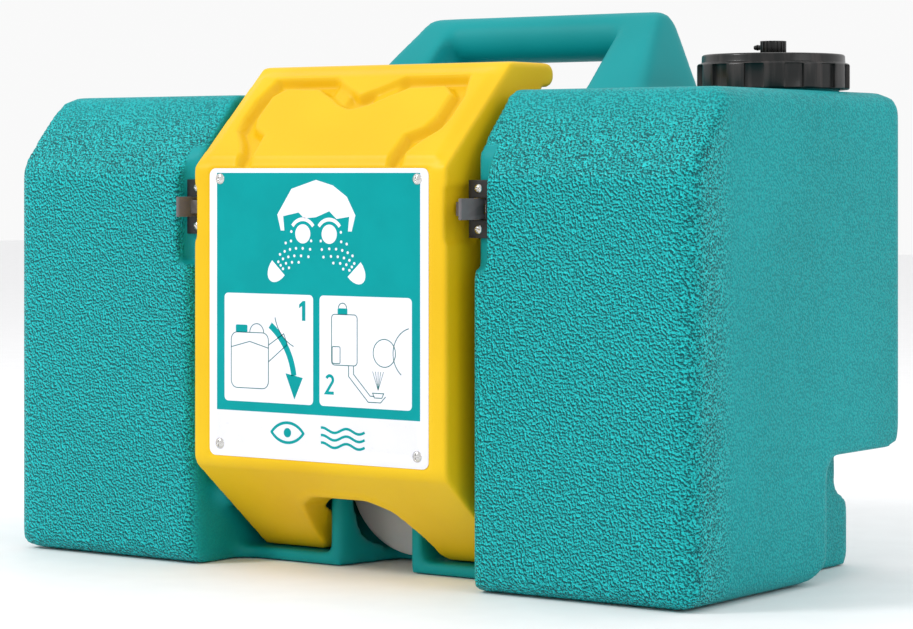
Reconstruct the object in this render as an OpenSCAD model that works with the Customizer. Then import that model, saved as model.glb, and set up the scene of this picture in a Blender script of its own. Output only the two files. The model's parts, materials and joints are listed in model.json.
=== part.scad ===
// Portable gravity-fed eyewash station: a moulded water tank with a drop-down spray tray.
// Millimetres, +Z up, front towards -Y. The origin is the middle of the tank's base.

/* [Tank] */
// Width across the two front lobes
tank_w = 560; // [460:5:680]
// Depth from the lobes' front to the back plane
tank_d = 280; // [250:5:340]
// Height of the flat top
tank_h = 320; // [300:5:400]
// Moulded wall
tank_wall = 4; // [3:0.5:6]
// Rounding of the tank's upright edges
tank_edge_r = 14; // [8:1:20]
// Height of the sloping chamfer at the top of the lobes
chamfer_h = 55; // [30:1:70]
// Depth of that chamfer
chamfer_d = 48; // [25:1:60]
// Height of the side ledges that a wall bracket carries
ledge_h = 81.5; // [60:0.5:100]
// How far the side ledges reach forward from the back
ledge_d = 107; // [80:1:130]

/* [Recess for the tray] */
// Width between the lobes
recess_w = 230; // [220:1:260]
// Depth from the lobes' front
recess_d = 112; // [105:1:125]
// Thickness of the sill that joins the lobes
sill_t = 8; // [5:0.5:12]
// Front of the sill, behind the lobes' front
sill_y = 53; // [53:1:60]

/* [Carry handle] */
// Diameter of the grip
grip_dia = 35; // [28:0.5:40]
// Clear width for the fingers
grip_w = 148; // [110:1:180]
// Clear height for the fingers
grip_gap = 25.5; // [22:0.5:40]

/* [Fill cap] */
// Outside diameter of the cap
cap_dia = 102; // [90:1:110]
// Height of the cap
cap_h = 24; // [20:0.5:30]
// Wall of the cap
cap_wall = 4; // [3:0.5:5]
// From the cap's centre to the tank's right side
cap_side = 63; // [63:1:80]
// From the cap's centre to the tank's back
cap_back = 70; // [65:1:95]
// Number of finger flutes
flutes = 12; // [8:1:18]

/* [Outlet] */
// Diameter of the outlet cap
outlet_dia = 115; // [90:1:116]
// Height of its centre
outlet_z = 62; // [62:1:80]
// Thickness of the outlet cap's face
outlet_face = 4; // [3:0.5:6]

/* [Tray] */
// Gap between each side of the tray and its lobe
tray_gap = 10; // [9:0.5:12]
// Moulded wall
tray_wall = 3; // [2.5:0.25:4]
// How far the tray's face stands proud of the lobes
tray_proud = 10; // [6:1:14]
// Foot of the upright face
face_low = 70; // [64:1:80]
// From the top of the upright face up to the tank's flat top
face_drop = 50; // [45:1:60]

/* [Hinge] */
// Hinge axis, behind the lobes' front
hinge_y = 36.7; // [34:0.1:40]
// Height of the hinge axis
hinge_z = 48.7; // [46:0.1:54]
// Pin diameter
pin_dia = 10; // [8:0.5:12]

/* [Spray heads] */
// Distance between the two heads
head_spacing = 82; // [70:1:100]
// Diameter of a head
head_dia = 36; // [30:1:42]
// Height of a head
head_h = 26; // [20:1:30]

/* [Hose] */
// Outside diameter
hose_dia = 16; // [14:0.5:18]
// Bore
hose_bore = 11; // [9:0.5:12]

/* [Sign] */
// Width of the sign plate
sign_w = 182; // [150:1:190]
// Height of the sign plate
sign_h = 192; // [150:1:196]
// Thickness of the sign plate
sign_t = 1.5; // [1:0.25:2]

/* [Hidden] */

teal = [0.0, 0.62, 0.62];
yellow = [0.93, 0.78, 0.08];
smoke = [0.16, 0.15, 0.15];
milky = [0.86, 0.86, 0.87];
steel = [0.75, 0.75, 0.77];
grey = [0.5, 0.47, 0.48];
black = [0.1, 0.1, 0.1];

fine = 96;                       // facets of round parts
run_gap = 0.08;                  // radial running clearance of a pin
part_gap = 0.3;                  // gap between parts that move past each other
over = 1;                        // how far a cut runs past a face

back_y = tank_d;
half_w = tank_w / 2;
recess_x = recess_w / 2;
tray_w = recess_w - 2 * tray_gap;
tray_x = tray_w / 2;
face_high = tank_h - face_drop;
cap_x = half_w - cap_side;
cap_y = back_y - cap_back;

// ---- outlines -------------------------------------------------------------------------------

function unit(v) = v / norm(v);
function flat(c) = [c.x, c.y];
function outward(a, b) = let (u = unit(b - a)) [u.y, -u.x];
function before(c, i) = flat(c[(i + len(c) - 1) % len(c)]);
function after(c, i) = flat(c[(i + 1) % len(c)]);

// Corners [x, y, radius], counter-clockwise, moved inwards by d, or outwards where d is negative.
function inset(c, d) = [for (i = [0 : len(c) - 1])
    let (q = flat(c[i]), n1 = outward(before(c, i), q), n2 = outward(q, after(c, i)),
         turn = sign(cross(q - before(c, i), after(c, i) - q)), m = (n1 + n2) * d / (1 + n1 * n2))
    [q.x - m.x, q.y - m.y, c[i].z > 0 ? max(1, c[i].z - d * turn) : 0]];

// The same corners as a closed outline, each with its radius as an arc.
function rounded(c, steps = 7) = [for (i = [0 : len(c) - 1])
    let (q = flat(c[i]), r = c[i].z)
    each r == 0 ? [q] :
        let (u = unit(before(c, i) - q), v = unit(after(c, i) - q), half = acos(u * v) / 2,
             mid = q + unit(u + v) * r / sin(half), s = q + u * r / tan(half) - mid,
             e = q + v * r / tan(half) - mid, a = atan2(s.y, s.x),
             sweep = (atan2(e.y, e.x) - a + 540) % 360 - 180)
        [for (k = [0 : steps]) mid + r * [cos(a + sweep * k / steps), sin(a + sweep * k / steps)]]];

function corner_pairs(c) = concat(c, [for (i = [len(c) - 1 : -1 : 0]) [-c[i].x, c[i].y, c[i].z]]);
function mirrored(c) = concat(c, [for (i = [len(c) - 1 : -1 : 0]) if (c[i].x != 0) [-c[i].x, c[i].y]]);
function box_corners(w, y0, y1, r) = [[-w / 2, y0, r], [w / 2, y0, r], [w / 2, y1, r], [-w / 2, y1, r]];

// ---- placing --------------------------------------------------------------------------------

// Everything is laid out from the lobes' front plane at y = 0, then centred on the base.
module placed() { translate([0, -tank_d / 2, 0]) children(); }
module along_x(x0, x1) { translate([x0, 0, 0]) rotate([90, 0, 90]) linear_extrude(x1 - x0) children(); }
module along_y(y0, y1) { translate([0, y1, 0]) rotate([90, 0, 0]) linear_extrude(y1 - y0) children(); }
module rod_x(x0, x1, r, y, z) {
    translate([x0, y, z]) rotate([0, 90, 0]) cylinder(r = r, h = x1 - x0, $fn = fine);
}
module rod_y(y0, y1, r, x, z) {
    translate([x, y1, z]) rotate([90, 0, 0]) cylinder(r = r, h = y1 - y0, $fn = fine);
}
module ring(r_out, r_in, h) {
    difference() {
        cylinder(r = r_out, h = h, $fn = fine);
        translate([0, 0, -over]) cylinder(r = r_in, h = h + 2 * over, $fn = fine);
    }
}
module both_sides() { children(); mirror([1, 0, 0]) children(); }
module side(s) { mirror([s < 0 ? 1 : 0, 0, 0]) children(); }

// A domed screw head with a cross recess, its shank along -Z.
module screw(head_r, shank_r, length) {
    difference() {
        union() {
            intersection() {
                translate([0, 0, -head_r * 0.75]) sphere(r = head_r * 1.25, $fn = 32);
                cylinder(r = head_r, h = head_r, $fn = 32);
            }
            translate([0, 0, -length]) cylinder(r = shank_r, h = length + 0.2, $fn = 24);
        }
        for (a = [0, 90])
            rotate([0, 0, a])
                translate([-head_r * 0.6, -head_r * 0.12, head_r * 0.2])
                    cube([head_r * 1.2, head_r * 0.24, head_r]);
    }
}

// ---- tank -----------------------------------------------------------------------------------

chamfer_z = tank_h - chamfer_h;
ledge_y = back_y - ledge_d;
ledge_w = 35;                    // width of each side ledge
block_w = tank_w - 2 * ledge_w;
foot_y = back_y - 8;             // back of the foot of the lower block
waist_y = back_y - 34;           // back of the lower block above its foot

body_side = [[0, 0, 12], [ledge_y, 0, 22], [ledge_y, ledge_h, 14], [back_y, ledge_h, 20],
    [back_y, tank_h, 20], [chamfer_d, tank_h, 10], [0, chamfer_z, 10]];
block_side = [[ledge_y - 30, 0, 0], [foot_y, 0, 9], [foot_y, 42, 9], [waist_y, 52, 10],
    [waist_y, ledge_h + 12, 0], [ledge_y - 30, ledge_h + 12, 0]];
recess_plan = [[-tank_w, -tank_d, 0], [tank_w, -tank_d, 0], [tank_w, 0, 0], [recess_x, 0, 10],
    [recess_x, recess_d, 12], [-recess_x, recess_d, 12], [-recess_x, 0, 10], [-tank_w, 0, 0]];
slot_mouth = [29, sill_y, 7];    // half the slot between the stops, at its mouth
slot_end = [18, recess_d - 3, 8];          // and at its end
sill_plan = corner_pairs([[tank_w, -tank_d, 0], [tank_w, 0, 0], [recess_x, 0, 10], [recess_x, sill_y, 16],
    slot_mouth, slot_end]);

// The tank's body without its front recess, moved inwards by d.
module tank_body(d) {
    intersection() {
        along_x(-half_w, half_w) polygon(rounded(inset(body_side, d)));
        linear_extrude(tank_h) polygon(rounded(inset(box_corners(tank_w, 0, back_y, tank_edge_r), d)));
        along_y(0, back_y) polygon(rounded(inset(box_corners(tank_w, 0, tank_h, 14), d)));
    }
    intersection() {
        along_x(-half_w, half_w) polygon(rounded(inset(block_side, d)));
        linear_extrude(tank_h) polygon(rounded(inset(box_corners(block_w, 0, foot_y, 14), d)));
    }
}

module recess(d) {
    translate([0, 0, sill_t - d]) linear_extrude(tank_h) polygon(rounded(inset(recess_plan, -d)));
}

// Grip: a bar on two hollow legs that rise from the back of the tank's top.
grip_r = grip_dia / 2;
grip_y = back_y - grip_r - 2;
grip_z = tank_h + grip_gap + grip_r;
leg_in = grip_w / 2;
leg_out = leg_in + 51;
leg_front = back_y - 92;

module grip_leg(d) {
    hull() {
        for (x = [leg_in + 10, leg_out - 10], y = [leg_front + 10, back_y - 14])
            translate([x, y, tank_h - tank_wall - 2]) cylinder(r = 10 - d, h = tank_wall + 3, $fn = 32);
        translate([leg_in + d, grip_y, grip_z])
            rotate([0, 90, 0]) cylinder(r = grip_r - d, h = 26 - 2 * d, $fn = 32);
    }
}
module grip(d) {
    both_sides() grip_leg(d);
    rod_x(-leg_in - 10, leg_in + 10, grip_r - d, grip_y, grip_z);
}

// Plain neck ring for the fill cap, welded on the tank's top. Its thread is left to the finish.
neck_r = 44;
neck_bore = 40;
gasket_t = 2.5;
cap_low = tank_h + 1.5;
cap_top = cap_low + cap_h - 0.5;
neck_top = cap_top - cap_wall - gasket_t;

module fill_neck() color(teal) placed()
    translate([cap_x, cap_y, tank_h]) ring(neck_r, neck_bore, neck_top - tank_h);

// Spout for the outlet cap, low in the recess wall.
spout_r = outlet_dia / 2 - 8;
spout_len = 8;
outlet_front = recess_d - 14;

// Stops: two ribs on the sill that the opened tray comes to rest against.
stop_out = 38;                   // outer side of a stop
stop_h = 50;
stop_side = [[sill_y, 2, 0], [recess_d - 2, 2, 0], [recess_d - 2, sill_t - 1, 0],
    [sill_y + 20, sill_t + 8, 26], [sill_y + 12, stop_h, 5], [sill_y, stop_h, 5]];
stop_plan = [[stop_out, sill_y, 3], [stop_out, recess_d, 0], [slot_end.x, recess_d, 0],
    [slot_end.x, slot_end.y, 0], slot_mouth];
module stop() {
    intersection() {
        along_x(slot_end.x, stop_out) polygon(rounded(stop_side));
        linear_extrude(stop_h) polygon(rounded(stop_plan));
    }
}

// Blind bosses for the hinge pins.
boss_r = 11;
boss_tip = tray_x + 1.8;
thread_r = 4;
thread_len = 18;

// Pockets in the lobes' inner edges for the latches.
pocket_low = face_high - 66;
pocket_high = face_high + 15;
pocket_x = recess_x + 13;
pocket_d = 11;
latch_z = face_high - 27;
latch_x = recess_x + 2.4;
latch_pivot_y = 17;
latch_screw_z = [-13, 13];       // a latch's two screws, from its middle

// Pegs in the recess wall that carry the nozzle seals.
rim_lift = 19;                                   // top of the tray's rim above the tank's flat top
slope_rise = face_drop + rim_lift;               // height of the tray's upper slope
slope_run = tray_proud + 64;                     // and its depth
slope_angle = atan2(slope_rise, slope_run);
head_x = head_spacing / 2;
peg_r = 15;
seal_t = 3;

module latch_pocket() {
    translate([recess_x - 20, -over, pocket_low])
        along_x(0, pocket_x - recess_x + 20)
            polygon([[0, 0], [pocket_d + over, 0], [pocket_d + over, pocket_high - pocket_low],
                [0, pocket_high - pocket_low - 6]]);
    translate([recess_x - 20, 0, latch_z - 11]) cube([pocket_x - recess_x + 17, latch_pivot_y + 6, 22]);
}

module tank_shell() color(teal) placed() {
    difference() {
        union() {
            difference() {
                tank_body(0);
                recess(0);
                translate([0, 0, -over]) linear_extrude(sill_t + 2 * over) polygon(rounded(sill_plan));
            }
            grip(0);
            rod_y(recess_d - spout_len, recess_d + 2, spout_r, 0, outlet_z);
            both_sides() {
                rod_x(boss_tip, recess_x + 2, boss_r, hinge_y, hinge_z);
                stop();
                seal_peg();
            }
        }
        difference() {
            union() {
                difference() {
                    tank_body(tank_wall);
                    recess(tank_wall);
                }
                grip(tank_wall);
            }
            both_sides() {
                rod_x(recess_x, boss_tip + thread_len + tank_wall, boss_r, hinge_y, hinge_z);
                translate([recess_x - 1, -over, pocket_low - tank_wall])
                    cube([pocket_x - recess_x + tank_wall + 1, latch_pivot_y + 6 + tank_wall + over,
                        pocket_high - pocket_low + 2 * tank_wall]);
            }
        }
        both_sides() {
            rod_x(boss_tip - over, boss_tip + thread_len, thread_r, hinge_y, hinge_z);
            latch_pocket();
            for (z = latch_screw_z)
                rod_y(0, pocket_d + 8, 1.5, latch_x, latch_z + z);
        }
        translate([cap_x, cap_y, tank_h - 2 * tank_wall])
            cylinder(r = neck_bore, h = cap_h + tank_wall * 2, $fn = fine);
        rod_y(recess_d - spout_len - over, recess_d + tank_wall + over, spout_r - 6, 0, outlet_z);
        rod_y(outlet_front - 4, recess_d - spout_len, outlet_dia / 2 + 1.5, 0, outlet_z);
        difference() {
            rod_y(outlet_front - 4, recess_d, outlet_dia / 2 + 1.5, 0, outlet_z);
            rod_y(outlet_front - 5, recess_d + over, spout_r, 0, outlet_z);
        }
    }
}

// ---- fill cap and vent ----------------------------------------------------------------------

module cap_gasket() color(black) placed()
    translate([cap_x, cap_y, neck_top]) ring(neck_r + 1, neck_bore - 1, gasket_t);

vent_hole = 4.7;
module fill_cap() color(smoke) placed() translate([cap_x, cap_y, 0]) {
    difference() {
        union() {
            translate([0, 0, cap_low]) cylinder(r = cap_dia / 2, h = cap_h - 6, $fn = fine);
            translate([0, 0, cap_low]) cylinder(r = cap_dia / 2 - 3, h = cap_h - 0.5, $fn = fine);
        }
        translate([0, 0, cap_low - over])
            cylinder(r = neck_r + 2, h = neck_top + gasket_t - cap_low + over, $fn = fine);
        translate([0, 0, cap_low - over]) cylinder(r = vent_hole, h = cap_h + 2 * over, $fn = fine);
        for (i = [0 : flutes - 1])
            rotate([0, 0, i * 360 / flutes])
                translate([cap_dia / 2 + 4.5, 0, cap_low - over]) cylinder(r = 7, h = cap_h - 7, $fn = 32);
    }
}

vent_r = 8.75;
vent_stem = 4.6;
vent_flange = 1;
spigot_r = 4;
spigot_h = 5.5;
stub_r = 1.4;
stub_reach = 5.6;
knob_low = cap_top + 0.5 + vent_flange + part_gap;
knob_h = 7.5;
stub_z = knob_low + 3.4;

module vent_seal() color(black) placed()
    translate([cap_x, cap_y, cap_top]) ring(vent_r - 1.5, vent_stem + 0.1, 0.5);
module vent_body() color(smoke) placed() translate([cap_x, cap_y, 0]) {
    difference() {
        union() {
            translate([0, 0, cap_top - cap_wall - 8])
                cylinder(r = vent_stem, h = cap_wall + 8.5 + vent_flange, $fn = fine);
            translate([0, 0, cap_top + 0.5]) cylinder(r = vent_r - 1, h = vent_flange, $fn = fine);
            translate([0, 0, cap_top + 0.5]) cylinder(r = spigot_r, h = vent_flange + spigot_h, $fn = fine);
        }
        translate([0, 0, cap_top - cap_wall - 9]) cylinder(r = 2, h = cap_wall + 12 + spigot_h, $fn = 24);
    }
}
module vent_knob() color(smoke) placed() translate([cap_x, cap_y, 0]) {
    difference() {
        union() {
            translate([0, 0, knob_low]) cylinder(r = vent_r, h = knob_h, $fn = fine);
            translate([0, 0, stub_z]) rotate([0, -90, 0]) {
                cylinder(r = stub_r, h = vent_r + stub_reach, $fn = 24);
                for (k = [0.6, 3])
                    translate([0, 0, vent_r + k])
                        cylinder(r1 = stub_r + 0.6, r2 = stub_r, h = 2.2, $fn = 24);
            }
        }
        translate([0, 0, knob_low - over])
            cylinder(r = spigot_r + run_gap, h = spigot_h + over, $fn = fine);
        translate([0, 0, stub_z])
            rotate([0, -90, 0]) cylinder(r = 0.8, h = vent_r + stub_reach + over, $fn = 24);
        for (i = [1 : 17])
            rotate([0, 0, 180 + i * 20]) translate([vent_r + 0.4, 0, knob_low - over])
                cylinder(r = 0.9, h = knob_h - 0.2, $fn = 16);
    }
}

// ---- outlet and hose ------------------------------------------------------------------------

module outlet_washer() color(black) placed()
    translate([0, recess_d - spout_len, outlet_z]) rotate([90, 0, 0]) ring(spout_r - 0.5, spout_r - 6, 2);

fitting_r = 9;
module outlet_cap() color(milky) placed() {
    difference() {
        union() {
            rod_y(outlet_front, recess_d - 3, outlet_dia / 2 - 1.5, 0, outlet_z);
            rod_y(outlet_front + 1.5, recess_d - 3, outlet_dia / 2, 0, outlet_z);
        }
        rod_y(outlet_front + outlet_face, recess_d, spout_r + 0.4, 0, outlet_z);
        rod_y(outlet_front - over, recess_d, fitting_r + 0.1, 0, outlet_z);
    }
}

barb_r = hose_bore / 2;
barb_tip = outlet_front - 26;
module barbs(length) {
    cylinder(r = barb_r - 0.6, h = length, $fn = fine);
    for (k = [2 : 5 : length - 4])
        translate([0, 0, k]) cylinder(r1 = barb_r - 0.6, r2 = barb_r - 0.2, h = 3.6, $fn = fine);
}
module outlet_fitting() color(milky) placed() translate([0, outlet_front, outlet_z]) rotate([90, 0, 0]) {
    difference() {
        union() {
            translate([0, 0, -18]) cylinder(r = fitting_r, h = 18.5, $fn = fine);
            cylinder(r = 14, h = 5, $fn = 6);
            translate([0, 0, 26]) mirror([0, 0, 1]) barbs(22);
        }
        translate([0, 0, -19]) cylinder(r = barb_r - 2, h = 50, $fn = fine);
    }
}
module outlet_nut() color(milky) placed()
    translate([0, outlet_front + outlet_face + 8, outlet_z]) rotate([90, 0, 0])
        difference() {
            cylinder(r = 15, h = 8, $fn = 6);
            translate([0, 0, -over]) cylinder(r = fitting_r + 0.1, h = 10, $fn = fine);
        }

module clamp_band() {
    ring(hose_dia / 2 + 1.2, hose_dia / 2 + 0.1, 8);
    translate([-3.5, hose_dia / 2 + 0.9, 0]) cube([7, 4, 8]);
}
module tank_hose_clamp() color(steel) placed()
    translate([0, outlet_front - 9, outlet_z]) rotate([90, 0, 0]) clamp_band();

// Hose route in the middle plane: back from the tray's face by hose_y, up from the bend to the top arc.
hose_y = 4;
bend_r = 46;
bend_y = hose_y + bend_r;
bend_z = outlet_z + bend_r;
arc_r = 45;
arc_turn = 90 - slope_angle;
manifold_r = 9;
manifold_drop = 15;              // manifold axis, inside the slope's outer face

// Point on the middle of the upper slope, moved by s up the slope and d inwards.
slope_mid = [slope_run / 2 - tray_proud, face_high + slope_rise / 2];
up_slope = [cos(slope_angle), sin(slope_angle)];
inwards = [sin(slope_angle), -cos(slope_angle)];
function on_slope(s, d) = slope_mid + up_slope * s + inwards * d;

// The top arc ends on the line that runs up the slope at the manifold's depth.
arc_end_dy = arc_r * (1 - cos(arc_turn));
arc_end_s = (hose_y + arc_end_dy - slope_mid.x - inwards.x * manifold_drop) / up_slope.x;
arc_end = on_slope(arc_end_s, manifold_drop);
arc_z = arc_end.y - arc_r * sin(arc_turn);
manifold_s = arc_end_s + 34;
manifold_at = on_slope(manifold_s, manifold_drop);

// Stations [y, z, heading] of the hose in the middle plane. A heading counts from +Y towards +Z.
bend_steps = 8;
function turn(y, z, r, a0, a1) = [for (k = [0 : bend_steps])
    let (a = a0 + (a1 - a0) * k / bend_steps) [y + r * cos(a), z + r * sin(a), a - 90]];
bend_route = concat([[barb_tip + 20, outlet_z, 180]], turn(bend_y, bend_z, bend_r, 270, 180));
run_route = concat([[hose_y, bend_z, 90]], turn(hose_y + arc_r, arc_z, arc_r, 180, 180 - arc_turn),
    [concat(arc_end + up_slope * 18, [slope_angle])]);

// Hose wall swept through its stations.
module hose(route) {
    sides = 16;
    rings = len(route);
    function loop(r) = [for (p = route, k = [0 : sides - 1]) let (a = k * 360 / sides)
        [r * cos(a), p.x - r * sin(a) * sin(p.z), p.y + r * sin(a) * cos(p.z)]];
    inner = rings * sides;
    last = (rings - 1) * sides;
    polyhedron(concat(loop(hose_dia / 2), loop(barb_r)), concat(
        [for (i = [0 : rings - 2], k = [0 : sides - 1])
            let (n = (k + 1) % sides, a = i * sides, b = a + sides)
            each [[a + k, b + k, b + n], [a + k, b + n, a + n]]],
        [for (i = [0 : rings - 2], k = [0 : sides - 1])
            let (n = (k + 1) % sides, a = inner + i * sides, b = a + sides)
            each [[a + k, b + n, b + k], [a + k, a + n, b + n]]],
        [for (k = [0 : sides - 1]) let (n = (k + 1) % sides)
            each [[k, n, inner + n], [k, inner + n, inner + k]]],
        [for (k = [0 : sides - 1]) let (n = (k + 1) % sides, a = last, b = inner + last)
            each [[a + k, b + n, a + n], [a + k, b + k, b + n]]]));
}
module supply_hose_bend() color(milky) placed() hose(bend_route);
module supply_hose_run() color(milky) placed() hose(run_route);
module tray_hose_clamp() color(steel) placed()
    translate([0, arc_end.x, arc_end.y]) rotate([slope_angle - 90, 0, 0])
        translate([0, 0, 6]) rotate([0, 0, 90]) clamp_band();

// ---- tray -----------------------------------------------------------------------------------

foot_z = 9;
foot_run = 66;
rim_y = recess_d + 2;
rim_z = tank_h + rim_lift;
rim_r = 8;
leg_back = 80;
tray_face = -tray_proud;

// Side view of the tray's front wall, from the foot of the legs up to the rolled rim.
tray_path = [[leg_back, foot_z, 0], [foot_run, foot_z, 3], [tray_face + 2, face_low, 8],
    [tray_face, face_low + 6, 4], [tray_face, face_high, 8], [slope_mid.x * 2 + tray_proud, rim_z, 8],
    [rim_y, rim_z, rim_r], [rim_y, rim_z - 2 * rim_r, rim_r - 0.1], [rim_y - 16, rim_z - 2 * rim_r, 0]];
side_back = [[rim_y - 12, tank_h - 4, 6], [56, face_high - 56, 20], [56, 100, 10], [leg_back, 66, 8]];
function tray_closed() = concat(tray_path, side_back);
function clockwise(c) = [for (i = [len(c) - 1 : -1 : 0]) c[i]];

module tray_side_area(d) { polygon(rounded(inset(clockwise(tray_closed()), d))); }

// Front view of the arch between the legs, whose inner corners at the foot are round.
arch_top = 50.5;
arch = [[22, arch_top, 12], [37, 44, 10], [46, 25, 30], [48, foot_z, 7], [60, foot_z, 0],
    [60, foot_z - 6, 0]];
arch_depth = 30;
module arch_area(d) { offset(delta = d) polygon(rounded(corner_pairs(arch))); }

relief_outer = [[68, -1], [68, 8], [74, 15], [84, 23], [86, 31], [86, 43], [80, 58], [30, 58], [0, 45]];
relief_inner = [[57, -1], [60, 19], [72, 24], [76, 30], [76, 46], [67, 52], [37, 51], [13, 40], [0, 37]];
relief_depth = 1.6;

// A slab on the tray's upper slope, from depth d0 to depth d1 below its face.
module slope_slab(d0, d1) {
    translate([0, slope_mid.x, slope_mid.y]) rotate([slope_angle, 0, 0])
        translate([-tray_x, -80, -d1]) cube([tray_w, 160, d1 - d0]);
}

sign_low = face_low + 7;
sign_recess = 2;
face_wall = tray_wall + sign_recess;
dent_low = face_high - 50;
dent_high = face_high - 12;

module tray_shell() color(yellow) placed() {
    difference() {
        union() {
            difference() {
                along_x(-tray_x, tray_x) tray_side_area(0);
                along_x(-tray_x + tray_wall, tray_x - tray_wall) tray_hollow();
            }
            // thicker wall behind the sign
            translate([-tray_x + 1, tray_face + 1, face_low + 4])
                cube([tray_w - 2, face_wall - 1, face_high - face_low - 4]);
            // inner walls of the legs, round the arch
            intersection() {
                along_y(-20, 100) difference() {
                    arch_area(tray_wall);
                    arch_area(0);
                }
                along_x(-tray_x, tray_x) polygon([[tray_face, face_low], [foot_run, foot_z],
                    [leg_back, foot_z], [leg_back, arch_top - 22], [sill_y - 1.5, arch_top - 10],
                    [sill_y - 1.5, arch_top + 5], [tray_face + arch_depth, face_low + 4]]);
            }
            both_sides() rod_x(bush_in, tray_x - 1, boss_r - 0.5, hinge_y, hinge_z);
        }
        along_y(-20, 100) arch_area(0);
        translate([-sign_w / 2 - 1, tray_face - over, sign_low - 1])
            cube([sign_w + 2, sign_recess + over, sign_h + 2]);
        both_sides() {
            rod_x(tray_x - 20, tray_x + over, pin_dia / 2 + 2.2, hinge_y, hinge_z);
            translate([tray_x - 1.8, tray_face - over, dent_low]) cube([4, 34, dent_high - dent_low]);
        }
        intersection() {
            along_y(-20, 100) translate([0, face_high]) difference() {
                polygon(mirrored(relief_outer));
                polygon(mirrored(relief_inner));
            }
            slope_slab(-2, relief_depth);
        }
        for (x = [-1, 1], z = [0, 1])
            rod_y(tray_face - over, 0, 1.55, x * sign_screw_x, sign_screw_z(z));
        for (x = saddle_x, y = saddle_screw_y)
            on_slope_frame(x, manifold_s - y, tray_wall - 1.6) cylinder(r = 1.55, h = 3, $fn = 24);
        for (x = clip_screw_x, z = clip_z)
            rod_y(tray_face + face_wall - 1.6, tray_face + face_wall + over, 1.55, x, z + clip_w / 2);
    }
}

// The space inside the front wall, open to the back.
module tray_hollow() {
    polygon(rounded(inset(clockwise(tray_closed()), tray_wall)));
    polygon(concat([[leg_back - 8, foot_z + tray_wall], [rim_y + 30, foot_z + tray_wall],
        [rim_y + 30, rim_z - 2 * rim_r - 0.1]], [for (p = side_back) [p.x - 8, p.y]]));
}

sign_screw_x = sign_w / 2 - 9;
function sign_screw_z(k) = sign_low + (k == 0 ? 8 : sign_h - 7);
module sign_plate() color(milky) placed() {
    difference() {
        translate([0, 0, sign_low])
            along_y(tray_face + sign_recess - sign_t, tray_face + sign_recess)
                polygon(rounded(box_corners(sign_w, 0, sign_h, 5)));
        for (x = [-1, 1], z = [0, 1])
            rod_y(tray_face - over, 0, 1.9, x * sign_screw_x, sign_screw_z(z));
    }
}
module sign_screws() color(steel) placed()
    for (x = [-1, 1], z = [0, 1])
        translate([x * sign_screw_x, tray_face + sign_recess - sign_t, sign_screw_z(z)])
            rotate([90, 0, 0]) screw(3.8, 1.5, 6);

// ---- hinge ----------------------------------------------------------------------------------

bush_in = tray_x - tray_wall - 5;
module hinge_bush(s) color(black) placed() side(s)
    translate([bush_in, hinge_y, hinge_z]) rotate([0, 90, 0]) {
        ring(pin_dia / 2 + 2.1, pin_dia / 2 + run_gap, tray_x - bush_in + 0.1);
        translate([0, 0, tray_x - bush_in + 0.05]) ring(boss_r - 1, pin_dia / 2 + run_gap, 1.4);
    }
module hinge_pin(s) color(steel) placed() side(s) {
    rod_x(bush_in - part_gap, boss_tip, pin_dia / 2, hinge_y, hinge_z);
    rod_x(boss_tip - over, boss_tip + thread_len - 1, thread_r - 0.05, hinge_y, hinge_z);
    difference() {
        rod_x(bush_in - part_gap - 5, bush_in - part_gap, boss_r - 2.5, hinge_y, hinge_z);
        translate([bush_in - part_gap - 6, hinge_y - 6, hinge_z - 0.8]) cube([2.5, 12, 1.6]);
    }
}

// ---- latches --------------------------------------------------------------------------------

plate_t = 3;
plate_h = 37;
tongue_h = 13.6;
tongue_t = 2.6;
tongue_tip = -12.5;
latch_pin_r = 1.5;
ear_h = 2;
ear_gap = tongue_h + 2 * part_gap;

module latch_base(s) color(black) placed() side(s) translate([latch_x, 0, latch_z]) {
    difference() {
        translate([-7.4, pocket_d - plate_t, -plate_h / 2]) cube([16, plate_t, plate_h]);
        translate([-5, pocket_d - plate_t - over, -ear_gap / 2]) cube([11, plate_t + 2 * over, ear_gap]);
        for (z = latch_screw_z)
            rod_y(0, 20, 1.7, 0, z);
    }
    for (z = [-ear_gap / 2 - ear_h, ear_gap / 2])
        difference() {
            translate([-4, pocket_d - over, z]) cube([8, latch_pivot_y + 3.5 - pocket_d + over, ear_h]);
            translate([0, latch_pivot_y, z - over])
                cylinder(r = latch_pin_r + 0.02, h = ear_h + 2 * over, $fn = fine);
        }
}
module latch_pin(s) color(steel) placed() side(s)
    translate([latch_x, latch_pivot_y, latch_z - ear_gap / 2 - ear_h])
        cylinder(r = latch_pin_r, h = ear_gap + 2 * ear_h, $fn = fine);
module latch_tongue(s) color(grey) placed() side(s) translate([latch_x, 0, latch_z]) {
    difference() {
        union() {
            translate([0, latch_pivot_y, -tongue_h / 2]) cylinder(r = 3.4, h = tongue_h, $fn = fine);
            translate([-tongue_t / 2, tongue_tip + 1.3, -tongue_h / 2])
                cube([tongue_t, latch_pivot_y - tongue_tip - 1.3, tongue_h]);
            translate([0, tongue_tip + 1.3, -tongue_h / 2])
                cylinder(r = tongue_t / 2, h = tongue_h, $fn = 32);
            translate([-latch_x + tray_x + part_gap, 0.5, -4.5])
                cube([latch_x - tray_x - part_gap, 4.5, 9]);
        }
        translate([0, latch_pivot_y, -tongue_h])
            cylinder(r = latch_pin_r + run_gap, h = 2 * tongue_h, $fn = fine);
        translate([0, latch_pivot_y, -spring_h / 2]) ring(3.4 + over, latch_pin_r, spring_h);
    }
}
spring_h = 6;
spring_r_in = 1.9;
spring_r_out = 2.9;
module latch_spring(s) color(steel) placed() side(s)
    translate([latch_x, latch_pivot_y, latch_z - spring_h / 2 + part_gap])
        ring(spring_r_out, spring_r_in, spring_h - 2 * part_gap);
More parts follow.
